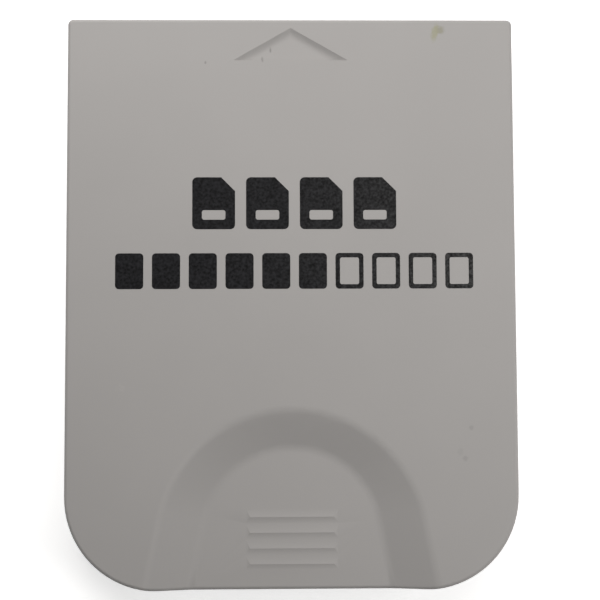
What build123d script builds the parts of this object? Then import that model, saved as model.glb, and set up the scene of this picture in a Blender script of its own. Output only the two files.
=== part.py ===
"""A console memory card: two moulded half shells, a circuit board with edge contacts, and one screw.

The card lies on its rear face. X runs across it, +Y is the way it is pushed into a console and
+Z points out of the front face. The origin is the middle of the rear face. Lengths are millimetres
and angles are degrees.
"""

import os

from build123d import *

# Card
card_width = 42.0
card_length = 53.4
card_thickness = 8.0
thumb_corner_radius = 8.7
slot_corner_radius = 0.5
face_edge_radius = 0.35
side_wall = 1.4
front_wall = 1.4
rear_wall = 1.4

# Joint between the two shells
parting_height = 4.0
parting_bevel = 0.12
lip_height = 0.8
lip_thickness = 0.55
lip_clearance = 0.1
snap_ridge_side = 0.35
snap_ridge_length = 6.0
snap_ridge_pitch = 22.0

# Thumb recess, an arch that runs out through the thumb end
recess_depth = 1.15
rim_arch_radius = 12.45
rim_arch_from_thumb_end = 4.15
floor_arch_radius = 8.2
floor_arch_from_thumb_end = 4.85
leg_flare = 11.5
recess_round = 3.0

# Grip ribs on the floor of the recess, with a long rise and a shorter fall towards the thumb end
rib_count = 4
rib_pitch = 1.44
rib_length = 8.6
rib_rise = 0.8
rib_fall = 0.5
rib_height = 0.12
rib_end_draft = 73.0
rib_middle_from_thumb_end = 4.5

# Insertion arrow, sunk into the front face with two hollowed sides and a square base
arrow_width = 10.8
arrow_height = 3.1
arrow_from_slot_end = 0.85
arrow_depth = 0.3
arrow_draft = 55.0
arrow_round = 1.5

# Circuit board and its edge contacts
board_thickness = 1.2
board_setback = 1.0
board_side_gap = 0.8
board_seat_height = 1.0
board_edge_bevel = 0.25
tongue_corner_chamfer = 0.6
tongue_margin = 1.8
contact_count = 12
contact_pitch = 2.0
contact_width = 1.3
contact_length = 7.0
contact_thickness = 0.08
contact_setback = 0.6

# Connector slot and the pocket behind it
slot_side_gap = 0.6
slot_under_gap = 0.2
slot_lintel = 0.7
slot_lead_in = 0.3
pocket_end_gap = 1.4
pocket_wall = 1.0
hold_down_gap = 0.1

# Board seats, locating pegs and hold-down posts
rail_overlap = 1.0
rail_overrun = 0.8
seat_rib_thickness = 1.0
front_seat_rib_from_board_tip = 4.0
rear_seat_rib_from_board_end = 8.0
peg_radius = 0.8
peg_from_board_edge = 1.6
peg_hole_clearance = 0.1
peg_projection = 0.4
hold_down_post_width = 2.4
hold_down_post_from_board_edge = 2.5
hold_down_post_margin = 0.6

# Case screw, a pan-head self-tapper driven from the rear
screw_radius = 0.8
screw_point_length = 0.7
screw_tip_from_ceiling = 0.3
screw_head_radius = 1.7
screw_head_height = 1.2
screw_head_bevel = 0.4
screw_head_sink = 0.25
screw_drive_width = 0.5
screw_drive_length = 2.0
screw_drive_depth = 0.7
screw_hole_clearance = 0.25
screw_pilot_clearance = 0.02
screw_head_clearance = 0.2
rear_post_wall = 0.9
front_boss_wall = 1.5
post_gap = 0.05
post_from_board = 0.6

# Chips with gull-wing leads: the controller has them on four sides, the flash memory on two
chip_standoff = 0.1
chip_edge_bevel = 0.12
chip_side_margin = 4.0
pin_one_bevel = 0.3
lead_thickness = 0.15
lead_shoulder = 0.25
lead_drop = 0.2
controller_size = 7.0
controller_height = 1.0
controller_leads_per_side = 8
controller_lead_pitch = 0.8
controller_lead_width = 0.37
controller_lead_reach = 1.0
flash_width = 11.8
flash_length = 8.0
flash_height = 1.0
flash_leads_per_side = 14
flash_lead_pitch = 0.55
flash_lead_width = 0.22
flash_lead_reach = 0.8

# Chip capacitors and resistors
component_gap = 1.0
passive_length = 1.6
passive_width = 0.8
terminal_length = 0.35
capacitor_count = 4
capacitor_pitch = 2.2
capacitor_height = 0.8
resistor_count = 4
resistor_pitch = 1.8
resistor_height = 0.45

# Heights of the pieces, from the rear face up
board_bottom = rear_wall + board_seat_height
board_top = board_bottom + board_thickness
hold_down_height = board_top + hold_down_gap
front_ceiling = card_thickness - front_wall
recess_floor = card_thickness - recess_depth
slot_bottom = board_bottom - slot_under_gap
slot_top = front_ceiling - slot_lintel
screw_seat = screw_head_sink + screw_head_height
screw_tip = front_ceiling - screw_tip_from_ceiling
snap_ridge_height = parting_height + lip_height / 2

# Places across the card
cavity_half_width = card_width / 2 - side_wall
lip_inset = side_wall - lip_thickness
board_half_width = cavity_half_width - board_side_gap
tongue_width = (contact_count - 1) * contact_pitch + contact_width + 2 * tongue_margin
slot_width = tongue_width + 2 * slot_side_gap
controller_reach = controller_size / 2 + controller_lead_reach
flash_reach = flash_width / 2 + flash_lead_reach
controller_x = chip_side_margin + controller_reach - board_half_width
flash_x = board_half_width - chip_side_margin - flash_reach
peg_spacing = 2 * (board_half_width - peg_from_board_edge)
hold_down_post_spacing = 2 * (board_half_width - hold_down_post_from_board_edge)

# Places along the card, from the slot end to the thumb end
slot_end = card_length / 2
slot_inner_end = slot_end - side_wall
board_tip = slot_end - board_setback
board_shoulder = slot_inner_end - board_side_gap
contact_middle = board_tip - contact_setback - contact_length / 2
pocket_back = contact_middle - contact_length / 2 - pocket_end_gap
passive_row = pocket_back - pocket_wall - component_gap - passive_length / 2
chip_row = passive_row - passive_length / 2 - component_gap - controller_reach
hold_down_post_y = chip_row - controller_reach - component_gap - hold_down_post_width / 2
board_end = hold_down_post_y - hold_down_post_width / 2 - hold_down_post_margin
rear_post_radius = screw_head_radius + screw_head_clearance + rear_post_wall
screw_y = board_end - post_from_board - rear_post_radius
thumb_end = -card_length / 2
snap_ridge_middle = (slot_end + thumb_end + thumb_corner_radius) / 2

# How far cutting shapes run past what they cut, and how square a face has to be to count as upright
overrun = 2.0
upright_tolerance = 1e-3

os.makedirs("parts", exist_ok=True)


def save(builder, name):
    """Label a finished piece and write its file."""
    builder.part.label = name
    export_step(builder.part, f"parts/{name}.step")


def card_plan(height, inset=0.0):
    """The card's outline at a height, moved in from its edge: round at the thumb end, square at the slot."""
    with BuildSketch(Plane.XY.offset(height)) as plan:
        Rectangle(card_width - 2 * inset, card_length - 2 * inset)
        fillet(plan.vertices().group_by(Axis.Y)[0], thumb_corner_radius - inset)
        if slot_corner_radius > inset:
            fillet(plan.vertices().group_by(Axis.Y)[-1], slot_corner_radius - inset)
    return plan.sketch


def arch_plan(height, radius, centre_from_end):
    """An arch whose legs flare a little and run out past the thumb end."""
    leg_length = centre_from_end + radius + overrun
    with BuildSketch(Plane.XY.offset(height)) as plan:
        with BuildLine():
            arch = CenterArc((0, thumb_end + centre_from_end), radius, leg_flare, 180 - 2 * leg_flare)
            right_leg = PolarLine(arch @ 0, leg_length, direction=-(arch % 0))
            left_leg = PolarLine(arch @ 1, leg_length, direction=arch % 1)
            Line(right_leg @ 1, left_leg @ 1)
        make_face()
    return plan.sketch


def upright_faces(builder):
    """The faces of a shell that stand square to the card's faces."""
    return builder.faces().filter_by(lambda face: abs(face.normal_at().Z) < upright_tolerance)


def level_edges(builder, low, high):
    """The edges round a shell's upright faces between two heights, without those that stand up."""
    around = upright_faces(builder).edges().filter_by(Axis.Z, reverse=True)
    return around.filter_by_position(Axis.Z, low, high, inclusive=(False, True))


def recess_space(drop, floor_round):
    """The space of the thumb recess, moved down from the front face by a drop."""
    rim_height = card_thickness - drop
    floor_height = rim_height - recess_depth
    rim = arch_plan(rim_height, rim_arch_radius, rim_arch_from_thumb_end)
    floor = arch_plan(floor_height, floor_arch_radius, floor_arch_from_thumb_end)
    with BuildPart() as space:
        loft([floor, rim], ruled=True)
        floor_edges = space.faces().sort_by(Axis.Z)[0].edges()
        if floor_round:
            fillet(floor_edges.sort_by(Axis.Y)[1:], floor_round)
        extrude(rim, amount=overrun)
    return space.part


def lip_ring(gap):
    """The ring of the lip between the shells, made larger all round by a gap."""
    with BuildPart() as ring:
        extrude(card_plan(parting_height, lip_inset - gap), amount=lip_height + gap)
        extrude(card_plan(parting_height, side_wall + gap), amount=lip_height + gap, mode=Mode.SUBTRACT)
    return ring.part


def snap_ridges(gap):
    """Four square bars set corner-out along the sides of the lip, made larger all round by a gap."""
    side = snap_ridge_side + 2 * gap
    with BuildPart() as ridges:
        with Locations((0, snap_ridge_middle, snap_ridge_height)):
            with GridLocations(card_width - 2 * lip_inset, snap_ridge_pitch, 2, 2):
                Box(side, snap_ridge_length + 2 * gap, side, rotation=(0, 45, 0))
    return ridges.part


def lead_part(chip_height, width, reach):
    """One gull-wing lead, from the middle of a chip's side out along +X and down to the board."""
    top = chip_standoff + (chip_height + lead_thickness) / 2
    heel = lead_shoulder + lead_drop
    with BuildPart() as lead:
        with BuildSketch(Plane.XZ):
            with BuildLine():
                Polyline(
                    (0, top),
                    (lead_shoulder, top),
                    (heel, lead_thickness),
                    (reach, lead_thickness),
                    (reach, 0),
                    (heel - lead_thickness, 0),
                    (lead_shoulder - lead_thickness, top - lead_thickness),
                    (0, top - lead_thickness),
                    close=True,
                )
            make_face()
        extrude(amount=width / 2, both=True)
    return lead.part


def chip_body(x, width, length, height):
    """A moulded chip body with bevelled edges and pin-one corner, standing just clear of the board."""
    with BuildPart() as body:
        with Locations((x, chip_row, board_top + chip_standoff)):
            Box(width, length, height, align=(Align.CENTER, Align.CENTER, Align.MIN))
        slot_side_corners = body.edges().filter_by(Axis.Z).group_by(Axis.Y)[-1]
        chamfer(slot_side_corners.sort_by(Axis.X)[0], pin_one_bevel)
        chamfer(body.edges().filter_by(Axis.Z, reverse=True), chip_edge_bevel)
    return body


def passive_set(kind, count, pitch, row_x, height):
    """A row of chip capacitors or resistors: each body is its own piece, and the terminals are one group."""
    body_length = passive_length - 2 * terminal_length
    seated = (Align.CENTER, Align.CENTER, Align.MIN)
    for index in range(count):
        body_x = row_x + (index - (count - 1) / 2) * pitch
        with BuildPart() as body:
            with Locations((body_x, passive_row, board_top)):
                Box(passive_width, body_length, height, align=seated)
        save(body, f"{kind}_{index + 1}")
    with BuildPart() as terminals:
        with Locations((row_x, passive_row, board_top)):
            with GridLocations(pitch, passive_length - terminal_length, count, 2):
                Box(passive_width, terminal_length, height, align=seated)
    save(terminals, f"{kind}_terminals")


# Space inside the two shells, with an even wall behind the thumb recess
with BuildPart() as cavity:
    extrude(card_plan(rear_wall, side_wall), amount=front_ceiling - rear_wall)
    add(recess_space(front_wall, floor_round=0.0), mode=Mode.SUBTRACT)

# Connector slot through the slot-end wall, with a lead-in all round its mouth
slot_mouth = Plane((0, slot_end, (slot_bottom + slot_top) / 2), x_dir=(1, 0, 0), z_dir=(0, 1, 0))
with BuildPart() as connector_slot:
    with BuildSketch(slot_mouth):
        Rectangle(slot_width + 2 * slot_lead_in, slot_top - slot_bottom + 2 * slot_lead_in)
    with BuildSketch(slot_mouth.offset(-slot_lead_in)) as slot_plan:
        Rectangle(slot_width, slot_top - slot_bottom)
    loft(ruled=True)
    extrude(slot_plan.sketch, amount=slot_lead_in - side_wall - lip_clearance)

# Grip ribs, low ridges across the floor of the thumb recess
with BuildPart() as grip_ribs:
    with BuildSketch(Plane.YZ):
        with Locations((thumb_end + rib_middle_from_thumb_end, recess_floor)):
            with GridLocations(rib_pitch, 0, rib_count, 1):
                Polygon((rib_rise, 0), (0, rib_height), (-rib_fall, 0), align=None)
    extrude(amount=rib_length / 2, both=True)
    with BuildSketch(Plane.XY.offset(recess_floor)):
        with Locations((0, thumb_end + rib_middle_from_thumb_end)):
            Rectangle(rib_length, rib_count * rib_pitch + overrun)
    extrude(amount=rib_height, taper=rib_end_draft, mode=Mode.INTERSECT)

# Space of the insertion arrow: a taller triangle with sloping sides, cut off square at the arrow's base
arrow_tip = slot_end - arrow_from_slot_end
arrow_full_height = arrow_height + overrun
arrow_full_width = arrow_width * arrow_full_height / arrow_height
with BuildPart() as arrow_space:
    with BuildSketch(Plane.XY.offset(card_thickness)):
        with Locations((0, arrow_tip)):
            arrow_base = [(-arrow_full_width / 2, -arrow_full_height), (arrow_full_width / 2, -arrow_full_height)]
            Polygon((0, 0), *arrow_base, align=None)
    extrude(amount=-arrow_depth, taper=arrow_draft)
    arrow_floor = arrow_space.faces().sort_by(Axis.Z)[0]
    fillet(arrow_floor.edges().sort_by(Axis.Y)[1:], arrow_round)
    split(bisect_by=Plane.XZ.offset(arrow_height - arrow_tip), keep=Keep.BOTTOM)

# Walls of the connector pocket, hold-down posts and screw boss inside the front shell
with BuildPart() as front_fittings:
    with BuildSketch(Plane.XY.offset(hold_down_height)):
        with Locations((0, slot_inner_end)):
            Rectangle(
                slot_width + 2 * pocket_wall,
                slot_inner_end - pocket_back + pocket_wall,
                align=(Align.CENTER, Align.MAX),
            )
            Rectangle(
                slot_width,
                slot_inner_end - pocket_back,
                align=(Align.CENTER, Align.MAX),
                mode=Mode.SUBTRACT,
            )
        with Locations((0, hold_down_post_y)):
            with GridLocations(hold_down_post_spacing, 0, 2, 1):
                Rectangle(hold_down_post_width, hold_down_post_width)
    extrude(amount=front_ceiling - hold_down_height)
    with BuildSketch(Plane.XY.offset(parting_height + post_gap)):
        with Locations((0, screw_y)):
            Circle(screw_radius + front_boss_wall)
    extrude(amount=front_ceiling - parting_height - post_gap)
    add(cavity.part, mode=Mode.INTERSECT)

# Front shell: the outer form, then the inside
with BuildPart() as front_shell:
    extrude(card_plan(parting_height), amount=card_thickness - parting_height)
    add(recess_space(0.0, floor_round=recess_round), mode=Mode.SUBTRACT)
    face_outline = front_shell.edges().group_by(Axis.Z)[-1]
    fillet(face_outline - upright_faces(front_shell).edges(), recess_round)
    fillet(level_edges(front_shell, parting_height, card_thickness), face_edge_radius)
    chamfer(front_shell.faces().sort_by(Axis.Z)[0].edges(), parting_bevel)
    add(cavity.part, mode=Mode.SUBTRACT)
    add(front_fittings.part)
    add(lip_ring(lip_clearance), mode=Mode.SUBTRACT)
    add(snap_ridges(lip_clearance), mode=Mode.SUBTRACT)
    add(connector_slot.part, mode=Mode.SUBTRACT)
    with BuildSketch(Plane.XY.offset(parting_height)):
        with Locations((0, screw_y)):
            Circle(screw_radius + screw_pilot_clearance)
    extrude(amount=front_ceiling - parting_height, mode=Mode.SUBTRACT)
    add(arrow_space.part, mode=Mode.SUBTRACT)
    add(grip_ribs.part)
save(front_shell, "front_shell")

# Board seats, locating pegs and screw post inside the rear shell
with BuildPart() as rear_fittings:
    with BuildSketch(Plane.XY.offset(rear_wall)):
        rail_width = board_side_gap + rail_overlap
        with Locations((0, slot_inner_end)):
            with GridLocations(2 * cavity_half_width - rail_width, 0, 2, 1):
                Rectangle(
                    rail_width,
                    slot_inner_end - board_end + rail_overrun,
                    align=(Align.CENTER, Align.MAX),
                )
        seat_rib_places = [
            (0, board_tip - front_seat_rib_from_board_tip),
            (0, board_end + rear_seat_rib_from_board_end),
        ]
        with Locations(*seat_rib_places):
            Rectangle(2 * cavity_half_width, seat_rib_thickness)
    extrude(amount=board_seat_height)
    with BuildSketch(Plane.XY.offset(rear_wall)):
        with Locations((0, screw_y)):
            Circle(rear_post_radius)
    extrude(amount=parting_height - rear_wall)
    with BuildSketch(Plane.XY.offset(rear_wall)):
        with Locations((0, passive_row)):
            with GridLocations(peg_spacing, 0, 2, 1):
                Circle(peg_radius)
    extrude(amount=board_top + peg_projection - rear_wall)
    add(cavity.part, mode=Mode.INTERSECT)

# Rear shell
with BuildPart() as rear_shell:
    extrude(card_plan(0.0), amount=parting_height)
    fillet(rear_shell.faces().sort_by(Axis.Z)[0].edges(), face_edge_radius)
    chamfer(rear_shell.faces().sort_by(Axis.Z)[-1].edges(), parting_bevel)
    add(cavity.part, mode=Mode.SUBTRACT)
    add(rear_fittings.part)
    add(lip_ring(0.0))
    add(snap_ridges(0.0))
    add(connector_slot.part, mode=Mode.SUBTRACT)
    with Locations(Location((0, screw_y, 0), (180, 0, 0))):
        CounterBoreHole(
            screw_radius + screw_hole_clearance,
            screw_head_radius + screw_head_clearance,
            screw_seat,
            parting_height,
        )
save(rear_shell, "rear_shell")

# Circuit board, with a narrower tongue that carries the contacts into the slot
with BuildPart() as circuit_board:
    with BuildSketch(Plane.XY.offset(board_bottom)) as board_plan:
        with Locations((0, board_end)):
            Rectangle(
                2 * board_half_width,
                board_shoulder - board_end,
                align=(Align.CENTER, Align.MIN),
            )
            Rectangle(tongue_width, board_tip - board_end, align=(Align.CENTER, Align.MIN))
        chamfer(board_plan.vertices().group_by(Axis.Y)[-1], tongue_corner_chamfer)
        with Locations((0, passive_row)):
            with GridLocations(peg_spacing, 0, 2, 1):
                Circle(peg_radius + peg_hole_clearance, mode=Mode.SUBTRACT)
    extrude(amount=board_thickness)
    tip_edges = circuit_board.edges().filter_by(Axis.X).group_by(Axis.Y)[-1]
    chamfer(tip_edges, board_edge_bevel)
save(circuit_board, "circuit_board")

# Edge contacts
for index in range(contact_count):
    contact_x = (index - (contact_count - 1) / 2) * contact_pitch
    with BuildPart() as contact:
        with BuildSketch(Plane.XY.offset(board_top)):
            with Locations((contact_x, contact_middle)):
                Rectangle(contact_width, contact_length)
        extrude(amount=contact_thickness)
    save(contact, f"contact_{index + 1}")

# Controller chip and its leads
save(chip_body(controller_x, controller_size, controller_size, controller_height), "controller_chip")
controller_lead = lead_part(controller_height, controller_lead_width, controller_lead_reach)
with BuildPart() as controller_chip_leads:
    with Locations((controller_x, chip_row, board_top)):
        with PolarLocations(controller_size / 2, 4):
            with GridLocations(0, controller_lead_pitch, 1, controller_leads_per_side):
                add(controller_lead)
save(controller_chip_leads, "controller_chip_leads")

# Flash memory chip and its leads
save(chip_body(flash_x, flash_width, flash_length, flash_height), "flash_memory_chip")
flash_lead = lead_part(flash_height, flash_lead_width, flash_lead_reach)
with BuildPart() as flash_memory_chip_leads:
    with Locations((flash_x, chip_row, board_top)):
        with PolarLocations(flash_width / 2, 2):
            with GridLocations(0, flash_lead_pitch, 1, flash_leads_per_side):
                add(flash_lead)
save(flash_memory_chip_leads, "flash_memory_chip_leads")

# Capacitors beside the flash memory and resistors beside the controller
passive_set("capacitor", capacitor_count, capacitor_pitch, flash_x, capacitor_height)
passive_set("resistor", resistor_count, resistor_pitch, controller_x, resistor_height)

# Case screw, with its head seated in the rear shell's post
screw_plane = Plane((0, screw_y, 0), x_dir=(1, 0, 0), z_dir=(0, -1, 0))
with BuildPart() as case_screw:
    with BuildSketch(screw_plane):
        with BuildLine():
            Polyline(
                (0, screw_head_sink),
                (screw_head_radius, screw_head_sink),
                (screw_head_radius, screw_seat),
                (screw_radius, screw_seat),
                (screw_radius, screw_tip - screw_point_length),
                (0, screw_tip),
                close=True,
            )
        make_face()
    revolve(axis=Axis((0, screw_y, 0), (0, 0, 1)))
    head_edge = case_screw.edges().filter_by(GeomType.CIRCLE).group_by(Axis.Z)[0]
    chamfer(head_edge, screw_head_bevel)
    with BuildSketch(Plane.XY.offset(screw_head_sink)):
        with Locations((0, screw_y)):
            Rectangle(screw_drive_length, screw_drive_width)
            Rectangle(screw_drive_width, screw_drive_length)
    extrude(amount=screw_drive_depth, mode=Mode.SUBTRACT)
save(case_screw, "case_screw")
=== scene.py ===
import math

import bmesh
import bpy
from mathutils import Matrix, Vector


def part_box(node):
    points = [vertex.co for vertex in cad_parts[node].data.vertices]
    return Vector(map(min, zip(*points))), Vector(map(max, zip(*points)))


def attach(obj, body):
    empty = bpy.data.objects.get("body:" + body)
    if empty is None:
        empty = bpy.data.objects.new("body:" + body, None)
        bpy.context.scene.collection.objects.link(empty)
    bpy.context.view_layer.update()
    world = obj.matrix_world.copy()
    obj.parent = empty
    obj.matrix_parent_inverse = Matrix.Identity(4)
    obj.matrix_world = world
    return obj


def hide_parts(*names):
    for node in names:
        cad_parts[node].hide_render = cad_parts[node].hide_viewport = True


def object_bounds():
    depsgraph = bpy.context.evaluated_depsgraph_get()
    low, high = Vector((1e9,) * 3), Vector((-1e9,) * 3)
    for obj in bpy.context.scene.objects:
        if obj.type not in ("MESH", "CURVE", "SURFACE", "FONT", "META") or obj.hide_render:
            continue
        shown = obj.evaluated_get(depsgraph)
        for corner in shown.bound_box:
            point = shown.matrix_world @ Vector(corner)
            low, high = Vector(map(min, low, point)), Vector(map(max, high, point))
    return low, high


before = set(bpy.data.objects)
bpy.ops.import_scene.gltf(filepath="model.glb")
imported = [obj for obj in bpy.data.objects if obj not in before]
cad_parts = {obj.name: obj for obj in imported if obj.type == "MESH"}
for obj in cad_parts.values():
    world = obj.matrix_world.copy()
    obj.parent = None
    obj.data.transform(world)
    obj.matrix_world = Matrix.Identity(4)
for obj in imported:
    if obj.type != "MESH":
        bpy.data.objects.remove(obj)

cadLow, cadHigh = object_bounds()
mm = 0.001
faceHeight = cadHigh.z

# Most of a noise lies in noiseSpan. The narrower patchSpan gives patches with a clearer edge.
noiseSpan = (0.3, 0.7)
patchSpan = (0.35, 0.65)
cloudDetail = 2.0
grainDetail = 3.0
patchDetail = 4.0

shaderSockets = {
    "colour": "Base Color",
    "roughness": "Roughness",
    "metallic": "Metallic",
    "gloss": "Specular IOR Level",
    "normal": "Normal",
    "glow": "Emission Color",
    "glowStrength": "Emission Strength",
}
# A Mix node has sockets for several kinds of value. These are the ones for colours.
mixSockets = {"factor": 0, "first": 6, "second": 7, "result": 2}


# Small helpers for materials. Texture sizes and depths are given in millimetres.
def newMaterial(name):
    material = bpy.data.materials.new(name)
    material.use_nodes = True
    return material, material.node_tree, material.node_tree.nodes["Principled BSDF"]


# A socket is linked to what another node gives, or set to a number, a vector or a colour
def fill(tree, socket, value):
    if isinstance(value, bpy.types.NodeSocket):
        tree.links.new(value, socket)
    elif socket.type == "RGBA":
        socket.default_value = (*value, 1.0)
    else:
        socket.default_value = value


def addNode(tree, kind, inputs, **settings):
    made = tree.nodes.new(kind)
    for name, value in settings.items():
        setattr(made, name, value)
    for name, value in inputs.items():
        fill(tree, made.inputs[name], value)
    return made


def setShader(tree, shader, **values):
    for name, value in values.items():
        fill(tree, shader.inputs[shaderSockets[name]], value)


def objectPlace(tree):
    return addNode(tree, "ShaderNodeTexCoord", {}).outputs["Object"]


def stretchedPlace(tree, stretch):
    inputs = {"Vector": objectPlace(tree), "Scale": stretch}
    return addNode(tree, "ShaderNodeMapping", inputs).outputs["Vector"]


def splitPlace(tree):
    return addNode(tree, "ShaderNodeSeparateXYZ", {"Vector": objectPlace(tree)}).outputs


def length(tree, vector):
    return addNode(tree, "ShaderNodeVectorMath", {"Vector": vector}, operation="LENGTH").outputs["Value"]


def noise(tree, size, detail=cloudDetail, place=None):
    inputs = {"Vector": place or objectPlace(tree), "Scale": 1 / (size * mm), "Detail": detail}
    return addNode(tree, "ShaderNodeTexNoise", inputs).outputs["Fac"]


def maths(tree, operation, first, second=0.0):
    return addNode(tree, "ShaderNodeMath", {0: first, 1: second}, operation=operation).outputs[0]


def product(tree, first, *others):
    for other in others:
        first = maths(tree, "MULTIPLY", first, other)
    return first


def ranged(tree, value, low, high, start=0.0, end=1.0):
    inputs = {"Value": value, "From Min": low, "From Max": high, "To Min": start, "To Max": end}
    return addNode(tree, "ShaderNodeMapRange", inputs).outputs["Result"]


def overNoise(tree, grain, start=0.0, end=1.0, span=noiseSpan):
    return ranged(tree, grain, *span, start, end)


def mixed(tree, factor, first, second, blend="MIX"):
    made = addNode(tree, "ShaderNodeMix", {}, data_type="RGBA", blend_type=blend)
    fill(tree, made.inputs[mixSockets["factor"]], factor)
    fill(tree, made.inputs[mixSockets["first"]], first)
    fill(tree, made.inputs[mixSockets["second"]], second)
    return made.outputs[mixSockets["result"]]


def bump(tree, height, depth):
    inputs = {"Height": height, "Distance": depth * mm, "Strength": 1.0}
    return addNode(tree, "ShaderNodeBump", inputs).outputs["Normal"]


def tinted(colour, share):
    return tuple(channel * share for channel in colour)


# Small helpers for objects and pieces
def addObject(name, mesh, material):
    data = bpy.data.meshes.new(name)
    mesh.to_mesh(data)
    mesh.free()
    data.materials.append(material)
    made = bpy.data.objects.new(name, data)
    bpy.context.scene.collection.objects.link(made)
    return made


def addPiece(name, mesh, material):
    piece = addObject(name, mesh, material)
    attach(piece, "root")
    return piece


def dress(names, material):
    for name in names:
        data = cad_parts[name].data
        data.materials.clear()
        data.materials.append(material)


def numberedNodes(start):
    return [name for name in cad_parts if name.startswith(start) and name[-1].isdigit()]


# Camera, in millimetres and degrees
cameraView = {
    "place": (-1.549, -8.663, 127.412),
    "turn": (4.181, -1.106, -0.239),
    "lens": 77.17,
    "sensor": 36.0,
    "nearest": 5.0,
    "farthest": 20000.0,
}


def placeCamera():
    data = bpy.data.cameras.new("camera")
    data.lens = cameraView["lens"]
    data.sensor_width = cameraView["sensor"]
    data.clip_start = cameraView["nearest"] * mm
    data.clip_end = cameraView["farthest"] * mm
    camera = bpy.data.objects.new("camera", data)
    camera.location = Vector(cameraView["place"]) * mm
    camera.rotation_euler = [math.radians(angle) for angle in cameraView["turn"]]
    bpy.context.scene.collection.objects.link(camera)
    bpy.context.scene.camera = camera


placeCamera()
print("camera placed")

# Studio: a pale table that glows a little, inside a pale dome that the camera alone sees, under broad lamps
# past the slot end, over the card and at its right. The reach is half the table's side and the dome's radius.
# A lamp has its bearing from +Y towards +X, its height angle and its power.
studio = {
    "reach": 3000.0,
    "colour": (0.90, 0.90, 0.90),
    "glow": 0.65,
    "cloudSize": 60.0,
    "cloudShade": 0.98,
    "roughness": 0.8,
    "domeSegments": (48, 24),
    "skyColour": (1.0, 1.0, 1.0),
    "skyStrength": 0.02,
    "lampAim": (0.0, 0.0, 8.0),
    "lampReach": 150.0,
    "lampSize": 100.0,
    "lampColour": (1.0, 0.985, 0.965),
    "lamps": {
        "endLamp": (-25.0, 35.0, 0.116),
        "overLamp": (13.0, 65.0, 0.085),
        "sideLamp": (100.0, 42.0, 0.094),
    },
}


def tableFinish():
    material, tree, shader = newMaterial("paleTable")
    cloud = overNoise(tree, noise(tree, studio["cloudSize"]))
    colour = mixed(tree, cloud, tinted(studio["colour"], studio["cloudShade"]), studio["colour"])
    setShader(tree, shader, colour=colour, roughness=studio["roughness"], glow=studio["colour"],
              glowStrength=studio["glow"])
    return material


# The dome is black under its glow, so that no lamp changes its tone
def domeFinish():
    material, tree, shader = newMaterial("paleBackdrop")
    setShader(tree, shader, colour=(0.0, 0.0, 0.0), gloss=0.0, glow=studio["colour"],
              glowStrength=studio["glow"])
    return material


def addLamp(name, bearing, height, power):
    data = bpy.data.lights.new(name, "AREA")
    data.shape = "DISK"
    data.size = studio["lampSize"] * mm
    data.energy = power
    data.color = studio["lampColour"]
    lamp = bpy.data.objects.new(name, data)
    aim = Vector(studio["lampAim"]) * mm
    turn = Matrix.Rotation(-math.radians(bearing), 3, "Z") @ Matrix.Rotation(math.radians(height), 3, "X")
    lamp.location = aim + turn @ Vector((0.0, studio["lampReach"] * mm, 0.0))
    lamp.rotation_euler = (aim - lamp.location).to_track_quat("-Z", "Y").to_euler()
    bpy.context.scene.collection.objects.link(lamp)


def buildStudio():
    reach = studio["reach"] * mm
    mesh = bmesh.new()
    bmesh.ops.create_grid(mesh, x_segments=1, y_segments=1, size=reach)
    floor = addObject("floor", mesh, tableFinish())

    mesh = bmesh.new()
    around, upward = studio["domeSegments"]
    bmesh.ops.create_uvsphere(mesh, u_segments=around, v_segments=upward, radius=reach)
    backdrop = addObject("backdrop", mesh, domeFinish())
    backdrop.visible_diffuse = False
    backdrop.visible_glossy = False
    backdrop.visible_shadow = False

    world = bpy.data.worlds.new("studioSky")
    world.use_nodes = True
    sky = world.node_tree.nodes["Background"]
    fill(world.node_tree, sky.inputs["Color"], studio["skyColour"])
    fill(world.node_tree, sky.inputs["Strength"], studio["skyStrength"])
    bpy.context.scene.world = world
    for name, settings in studio["lamps"].items():
        addLamp(name, *settings)
    bpy.context.scene.view_settings.view_transform = "Standard"


buildStudio()
print("studio built")

# Moulded shells: fine matt grain, faint clouding and, on the front face, the marks of use and the painted
# shade and highlight in the thumb recess
shellFinish = {
    "colour": (0.398, 0.385, 0.378),
    "cloudSize": 9.0,
    "cloudShare": 0.012,
    "grainSize": 0.16,
    "grainDepth": 0.004,
    "roughness": (0.54, 0.66),
    "gloss": 0.4,
}
# A mark has its place on the face, half its size, its turn, its colour, its strength
# and how ragged its edge is
faceMarks = {
    "smudgeTop": ((14.12, 25.66), (0.58, 0.42), 10.0, (0.289, 0.282, 0.213), 0.75, 0.20),
    "smudgeTail": ((13.65, 25.40), (0.40, 1.00), -12.0, (0.338, 0.330, 0.223), 0.75, 0.20),
    "speckApex": ((-1.91, 23.77), (0.12, 0.30), 0.0, (0.190, 0.185, 0.175), 0.65, 0.20),
    "speckBase": ((-2.68, 22.88), (0.13, 0.36), 8.0, (0.200, 0.195, 0.185), 0.50, 0.20),
    "speckFace": ((-8.02, 22.52), (0.13, 0.19), 0.0, (0.180, 0.175, 0.170), 0.50, 0.20),
    "scuffLeft": ((-15.75, -8.05), (0.50, 0.35), 20.0, (0.440, 0.430, 0.415), 0.35, 0.60),
    "speckHigh": ((16.62, -11.87), (0.26, 0.30), 0.0, (0.292, 0.282, 0.277), 0.46, 0.20),
    "speckLow": ((16.03, -14.70), (0.30, 0.28), 0.0, (0.292, 0.282, 0.277), 0.44, 0.20),
    "speckFaint": ((15.57, -14.05), (0.34, 0.40), 0.0, (0.320, 0.309, 0.304), 0.30, 0.20),
}
markForm = {
    "depth": 1.2,      # how far from the face a mark can show
    "grain": 0.35,     # size of the ragged steps in its edge
    "softness": 0.55,  # share of it that fades out
}


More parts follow.
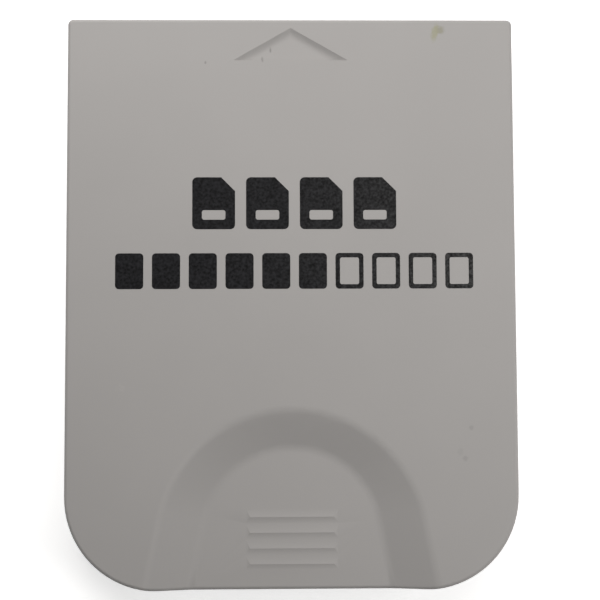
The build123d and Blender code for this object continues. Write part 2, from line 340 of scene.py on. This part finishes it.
def markMask(tree, place, halfSize, turn, ragged):
    inputs = {
        "Vector": objectPlace(tree),
        "Location": (place[0] * mm, place[1] * mm, faceHeight),
        "Rotation": (0.0, 0.0, math.radians(turn)),
        "Scale": (halfSize[0] * mm, halfSize[1] * mm, markForm["depth"] * mm),
    }
    local = addNode(tree, "ShaderNodeMapping", inputs, vector_type="TEXTURE").outputs["Vector"]
    step = overNoise(tree, noise(tree, markForm["grain"]), -ragged, ragged)
    return ranged(tree, maths(tree, "ADD", length(tree, local), step), 1.0, 1.0 - markForm["softness"])


# Painted shade darkens both sides of the thumb recess's slope, and a painted highlight lightens a line on the
# left of its rim. An arch has its radius and how far its centre is from the thumb end.
recessPaintedLight = {
    "rim": (12.45, 4.15),
    "floor": (8.20, 4.85),
    "legFlare": 11.5,            # degrees
    "depth": 1.3,                # how far below the face the painted shade and highlight can show
    "paintedShadeFromRim": 0.15,
    "paintedShadeFromFloor": 0.25,
    "paintedShadeSoftness": 0.35,
    "paintedShadeSide": (3.0, 8.0),     # where it starts and is full, from the middle
    "paintedShadeTone": (0.975, 0.975, 0.975),
    "paintedHighlightMiddle": 0.12,
    "paintedHighlightWidth": 0.40,
    "paintedHighlightSide": (-6.0, -9.0),  # where it starts and is full, along X
    "paintedHighlightTone": (1.040, 1.040, 1.040),
}


# How far a point is outside an arch with flared legs, in metres
def outsideArch(tree, arch):
    radius, fromEnd = arch
    flare = math.radians(recessPaintedLight["legFlare"])
    place = splitPlace(tree)
    across = maths(tree, "ABSOLUTE", place["X"])
    along = maths(tree, "SUBTRACT", place["Y"], cadLow.y + fromEnd * mm)
    spread = addNode(tree, "ShaderNodeCombineXYZ", {"X": across, "Y": along}).outputs["Vector"]
    roundReach = length(tree, spread)
    legReach = maths(tree, "ADD", product(tree, across, math.cos(flare)),
                     product(tree, along, math.sin(flare)))
    onLeg = maths(tree, "GREATER_THAN", product(tree, across, math.tan(flare)), along)
    legStep = product(tree, onLeg, maths(tree, "SUBTRACT", legReach, roundReach))
    return maths(tree, "SUBTRACT", maths(tree, "ADD", roundReach, legStep), radius * mm)


def paintRecessLight(tree, colour):
    place = splitPlace(tree)
    pastRim = outsideArch(tree, recessPaintedLight["rim"])
    pastFloor = outsideArch(tree, recessPaintedLight["floor"])
    nearFace = maths(tree, "GREATER_THAN", place["Z"], faceHeight - recessPaintedLight["depth"] * mm)

    softness = recessPaintedLight["paintedShadeSoftness"] * mm
    rimEdge = -recessPaintedLight["paintedShadeFromRim"] * mm
    floorEdge = recessPaintedLight["paintedShadeFromFloor"] * mm
    insideRim = ranged(tree, pastRim, rimEdge, rimEdge - softness)
    outsideFloor = ranged(tree, pastFloor, floorEdge, floorEdge + softness)
    paintedShadeStart, paintedShadeFull = recessPaintedLight["paintedShadeSide"]
    onSide = ranged(tree, maths(tree, "ABSOLUTE", place["X"]), paintedShadeStart * mm, paintedShadeFull * mm)
    # painted shade: the recess slope is darkened in colour
    paintedShade = product(tree, insideRim, outsideFloor, onSide, nearFace)
    colour = mixed(tree, paintedShade, colour, recessPaintedLight["paintedShadeTone"], "MULTIPLY")

    fromLine = maths(tree, "ABSOLUTE", maths(tree, "SUBTRACT", pastRim, recessPaintedLight["paintedHighlightMiddle"] * mm))
    onLine = ranged(tree, fromLine, recessPaintedLight["paintedHighlightWidth"] * mm, 0.0)
    paintedHighlightStart, paintedHighlightFull = recessPaintedLight["paintedHighlightSide"]
    onLeft = ranged(tree, place["X"], paintedHighlightStart * mm, paintedHighlightFull * mm)
    # painted highlight: a pale line in the colour along the left of the rim
    paintedHighlight = product(tree, onLine, onLeft, nearFace)
    return mixed(tree, paintedHighlight, colour, recessPaintedLight["paintedHighlightTone"], "MULTIPLY")


# A shell with marks of use also has the painted shade and painted highlight in its recess
def shellPlastic(name, marks):
    material, tree, shader = newMaterial(name)
    cloud = overNoise(tree, noise(tree, shellFinish["cloudSize"]))
    dull = tinted(shellFinish["colour"], 1 - shellFinish["cloudShare"])
    clear = tinted(shellFinish["colour"], 1 + shellFinish["cloudShare"])
    colour = mixed(tree, cloud, dull, clear)
    for place, halfSize, turn, markColour, strength, ragged in marks.values():
        mask = product(tree, markMask(tree, place, halfSize, turn, ragged), strength)
        colour = mixed(tree, mask, colour, markColour)
    if marks:
        colour = paintRecessLight(tree, colour)
    grain = noise(tree, shellFinish["grainSize"], grainDetail)
    setShader(tree, shader, colour=colour, gloss=shellFinish["gloss"],
              roughness=overNoise(tree, grain, *shellFinish["roughness"]),
              normal=bump(tree, grain, shellFinish["grainDepth"]))
    return material


# The shells are copies of the solids with their facets joined, so that rounded edges shade as one surface
caseForm = {
    "joinWithin": 0.002,
    "flatAngle": 0.5,
    "sharpAngle": 18.0,
}


def buildCase(name, node, material):
    mesh = bmesh.new()
    mesh.from_mesh(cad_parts[node].data)
    bmesh.ops.remove_doubles(mesh, verts=mesh.verts, dist=caseForm["joinWithin"] * mm)
    bmesh.ops.dissolve_limit(mesh, angle_limit=math.radians(caseForm["flatAngle"]),
                             verts=mesh.verts, edges=mesh.edges)
    for face in mesh.faces:
        face.smooth = True
    for edge in mesh.edges:
        edge.smooth = edge.calc_face_angle(0.0) < math.radians(caseForm["sharpAngle"])
    case = addPiece(name, mesh, material)
    # normals kept from the facets would hide the even shading
    facetNormals = case.data.attributes.get("custom_normal")
    if facetNormals:
        case.data.attributes.remove(facetNormals)
    shading = case.modifiers.new("evenShading", "WEIGHTED_NORMAL")
    shading.keep_sharp = True
    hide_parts(node)


buildCase("frontCase", "front_shell", shellPlastic("frontPlastic", faceMarks))
buildCase("rearCase", "rear_shell", shellPlastic("rearPlastic", {}))
print("cases built")

# Ink on the front face: a row of bold cut-corner tabs over a gauge of bars, as thin films that reach into
# the plastic. It is painted paler towards +X, a painted sheen.
inkFilm = {
    "above": 0.005,
    "below": 0.010,
    "cornerSteps": 5,
    "colour": (0.0108, 0.0108, 0.0124),
    "paintedSheenInk": (0.0365, 0.0362, 0.0365),
    "paintedSheenReach": 17.5,
    "paintedSheenPower": 3.0,
    "mottle": 0.80,
    "grainSize": 0.24,
    "grainDepth": 0.006,
    "roughness": 0.62,
    "gloss": 0.12,
}
tabRow = {
    "middle": (0.30, 9.15),
    "count": 4,
    "pitch": 5.03,
    "size": (4.00, 4.90),
    "corner": 0.45,
    "cut": 1.30,
    "window": (2.20, 0.90),
    "windowDrop": 1.10,
    "windowCorner": 0.20,
}
gaugeRow = {
    "middle": (0.30, 2.78),
    "count": 10,
    "filled": 6,
    "pitch": 3.42,
    "size": (2.62, 3.35),
    "corner": 0.35,
    "line": 0.42,
    "windowCorner": 0.175,
}


def inkMaterial():
    material, tree, shader = newMaterial("printInk")
    grain = noise(tree, inkFilm["grainSize"], grainDetail)
    # painted sheen: the ink colour gets paler towards +X
    paintedSheenReach = inkFilm["paintedSheenReach"] * mm
    across = ranged(tree, splitPlace(tree)["X"], -paintedSheenReach, paintedSheenReach)
    paintedSheen = maths(tree, "POWER", across, inkFilm["paintedSheenPower"])
    paintedSheenInk = mixed(tree, paintedSheen, inkFilm["colour"], inkFilm["paintedSheenInk"])
    mottle = overNoise(tree, grain, 1 - inkFilm["mottle"], 1 + inkFilm["mottle"])
    setShader(tree, shader, colour=mixed(tree, 1.0, paintedSheenInk, mottle, "MULTIPLY"),
              roughness=inkFilm["roughness"], gloss=inkFilm["gloss"],
              normal=bump(tree, grain, inkFilm["grainDepth"]))
    return material


def roundCorners(mesh, corners, reach, steps):
    made = bmesh.ops.bevel(mesh, geom=corners, offset=reach * mm, segments=steps, profile=0.5,
                           affect="VERTICES", material=-1)
    return made["verts"][0].link_faces[0]


def roundedFace(mesh, middle, size, corner, cut=0.0):
    corners = bmesh.ops.create_grid(mesh, x_segments=1, y_segments=1, size=0.5)["verts"]  # sides of 1
    bmesh.ops.scale(mesh, vec=(size[0] * mm, size[1] * mm, 1.0), verts=corners)
    place = (middle[0] * mm, middle[1] * mm, faceHeight - inkFilm["below"] * mm)
    bmesh.ops.translate(mesh, vec=place, verts=corners)
    if cut:
        roundCorners(mesh, [corners.pop()], cut, 1)
    return roundCorners(mesh, corners, corner, inkFilm["cornerSteps"])


def openFace(mesh, rims):
    edges = [edge for rim in rims for edge in rim.edges]
    bmesh.ops.delete(mesh, geom=rims, context="FACES_ONLY")
    bmesh.ops.bridge_loops(mesh, edges=edges)


def raiseFilm(mesh):
    raised = bmesh.ops.extrude_face_region(mesh, geom=mesh.faces[:], use_keep_orig=True)["geom"]
    top = [part for part in raised if isinstance(part, bmesh.types.BMVert)]
    bmesh.ops.translate(mesh, vec=(0.0, 0.0, (inkFilm["above"] + inkFilm["below"]) * mm), verts=top)
    bmesh.ops.recalc_face_normals(mesh, faces=mesh.faces)


def rowPlaces(row):
    x, y = row["middle"]
    return [(x + (index - (row["count"] - 1) / 2) * row["pitch"], y) for index in range(row["count"])]


def printTabs(material):
    mesh = bmesh.new()
    for x, y in rowPlaces(tabRow):
        tab = roundedFace(mesh, (x, y), tabRow["size"], tabRow["corner"], tabRow["cut"])
        windowPlace = (x, y - tabRow["windowDrop"])
        openFace(mesh, [tab, roundedFace(mesh, windowPlace, tabRow["window"], tabRow["windowCorner"])])
    raiseFilm(mesh)
    addPiece("printedTabs", mesh, material)


def printGauge(material):
    mesh = bmesh.new()
    window = [side - 2 * gaugeRow["line"] for side in gaugeRow["size"]]
    for index, place in enumerate(rowPlaces(gaugeRow)):
        bar = roundedFace(mesh, place, gaugeRow["size"], gaugeRow["corner"])
        if index >= gaugeRow["filled"]:
            openFace(mesh, [bar, roundedFace(mesh, place, window, gaugeRow["windowCorner"])])
    raiseFilm(mesh)
    addPiece("printedGauge", mesh, material)


printInk = inkMaterial()
printTabs(printInk)
printGauge(printInk)
print("print laid")

# Circuit board: green mask over copper tracks that run back from the contacts, with bare laminate
# at its edges
boardFinish = {
    "mask": (0.012, 0.088, 0.032),
    "track": (0.024, 0.140, 0.055),
    "laminate": (0.400, 0.340, 0.190),
    "skin": 0.03,
    "trackWidth": 0.55,
    "trackRun": 7.0,
    "trackDepth": 0.035,
    "trackSoftness": 0.1,  # share of half a track
    "weaveSize": 0.35,
    "weaveShade": 0.75,
    "roughness": (0.28, 0.44),
    "gloss": 0.5,
}


def boardLaminate():
    low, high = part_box("circuit_board")
    firstLow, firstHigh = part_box("contact_1")
    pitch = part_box("contact_2")[0].x - firstLow.x
    trackLine = (firstLow.x + firstHigh.x) / 2
    trackEnd = firstLow.y - boardFinish["trackRun"] * mm
    material, tree, shader = newMaterial("boardLaminate")
    x, y, z = splitPlace(tree)
    fromLine = maths(tree, "PINGPONG", maths(tree, "SUBTRACT", x, trackLine), pitch / 2)
    halfTrack = boardFinish["trackWidth"] * mm / 2
    softness = boardFinish["trackSoftness"]
    across = ranged(tree, fromLine, halfTrack * (1 + softness), halfTrack * (1 - softness))
    track = product(tree, across, maths(tree, "GREATER_THAN", y, trackEnd))
    fromMiddle = maths(tree, "ABSOLUTE", maths(tree, "SUBTRACT", z, (low.z + high.z) / 2))
    skin = maths(tree, "GREATER_THAN", fromMiddle, (high.z - low.z) / 2 - boardFinish["skin"] * mm)
    weave = noise(tree, boardFinish["weaveSize"], grainDetail)
    shade = tinted(boardFinish["laminate"], boardFinish["weaveShade"])
    laminate = mixed(tree, weave, shade, boardFinish["laminate"])
    green = mixed(tree, track, boardFinish["mask"], boardFinish["track"])
    relief = product(tree, track, skin)
    setShader(tree, shader, colour=mixed(tree, skin, laminate, green), gloss=boardFinish["gloss"],
              roughness=overNoise(tree, weave, *boardFinish["roughness"]),
              normal=bump(tree, relief, boardFinish["trackDepth"]))
    return material


dress(["circuit_board"], boardLaminate())
print("board dressed")

# Edge contacts: gold plate with wipe marks from being pushed in
goldPlate = {
    "colour": (0.880, 0.620, 0.240),
    "wiped": (0.940, 0.740, 0.400),
    "wipeSize": 0.12,
    "wipeStretch": (1.0, 0.05, 1.0),
    "wipeDepth": 0.003,
    "metallic": 0.7,
    "roughness": (0.34, 0.52),
}


def contactGold():
    material, tree, shader = newMaterial("contactGold")
    wipe = noise(tree, goldPlate["wipeSize"], grainDetail, stretchedPlace(tree, goldPlate["wipeStretch"]))
    wiped = overNoise(tree, wipe, span=patchSpan)
    setShader(tree, shader, colour=mixed(tree, wiped, goldPlate["colour"], goldPlate["wiped"]),
              metallic=goldPlate["metallic"], roughness=overNoise(tree, wipe, *goldPlate["roughness"]),
              normal=bump(tree, wipe, goldPlate["wipeDepth"]))
    return material


dress(numberedNodes("contact_"), contactGold())
print("contacts dressed")

# Tin plate on leads and terminals, and zinc plate on the screw. Roughness goes from dull patches to bright.
tinPlate = {
    "colour": (0.66, 0.66, 0.64),
    "dull": (0.48, 0.48, 0.47),
    "size": 0.25,
    "depth": 0.003,
    "roughness": (0.46, 0.28),
}
zincPlate = {
    "colour": (0.60, 0.61, 0.62),
    "dull": (0.42, 0.42, 0.41),
    "size": 0.40,
    "depth": 0.006,
    "roughness": (0.50, 0.32),
}


def platedMetal(name, plate):
    material, tree, shader = newMaterial(name)
    patch = noise(tree, plate["size"], patchDetail)
    bright = overNoise(tree, patch, span=patchSpan)
    setShader(tree, shader, colour=mixed(tree, bright, plate["dull"], plate["colour"]), metallic=1.0,
              roughness=overNoise(tree, patch, *plate["roughness"]),
              normal=bump(tree, patch, plate["depth"]))
    return material


tinnedNodes = [
    "controller_chip_leads",
    "flash_memory_chip_leads",
    "capacitor_terminals",
    "resistor_terminals",
]
dress(tinnedNodes, platedMetal("tinPlate", tinPlate))
dress(["case_screw"], platedMetal("zincPlate", zincPlate))
print("plated metal dressed")

# Chips, capacitors and resistors. A resistor's roughness is given for its ceramic and its glaze.
chipEpoxy = {
    "colour": (0.016, 0.016, 0.017),
    "pale": (0.030, 0.030, 0.031),
    "size": 0.10,
    "depth": 0.006,
    "roughness": (0.47, 0.63),
}
capacitorBody = {
    "colour": (0.34, 0.22, 0.11),
    "pale": (0.42, 0.29, 0.16),
    "size": 0.20,
    "depth": 0.004,
    "roughness": (0.34, 0.50),
}
resistorBody = {
    "glaze": (0.018, 0.018, 0.020),
    "glazeDepth": 0.04,
    "ceramic": (0.72, 0.71, 0.68),
    "ceramicShade": 0.9,
    "size": 0.15,
    "depth": 0.002,
    "roughness": (0.6, 0.25),
}


def mouldedBody(name, body):
    material, tree, shader = newMaterial(name)
    grain = noise(tree, body["size"], grainDetail)
    pale = overNoise(tree, grain, span=patchSpan)
    setShader(tree, shader, colour=mixed(tree, pale, body["colour"], body["pale"]),
              roughness=overNoise(tree, grain, *body["roughness"]),
              normal=bump(tree, grain, body["depth"]))
    return material


def glazedResistor():
    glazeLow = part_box("resistor_1")[1].z - resistorBody["glazeDepth"] * mm
    material, tree, shader = newMaterial("resistorCeramic")
    glazed = maths(tree, "GREATER_THAN", splitPlace(tree)["Z"], glazeLow)
    grain = noise(tree, resistorBody["size"])
    shade = tinted(resistorBody["ceramic"], resistorBody["ceramicShade"])
    ceramic = mixed(tree, grain, shade, resistorBody["ceramic"])
    setShader(tree, shader, colour=mixed(tree, glazed, ceramic, resistorBody["glaze"]),
              roughness=ranged(tree, glazed, 0.0, 1.0, *resistorBody["roughness"]),
              normal=bump(tree, grain, resistorBody["depth"]))
    return material


dress(["controller_chip", "flash_memory_chip"], mouldedBody("chipEpoxy", chipEpoxy))
dress(numberedNodes("capacitor_"), mouldedBody("capacitorCeramic", capacitorBody))
dress(numberedNodes("resistor_"), glazedResistor())
print("components dressed")
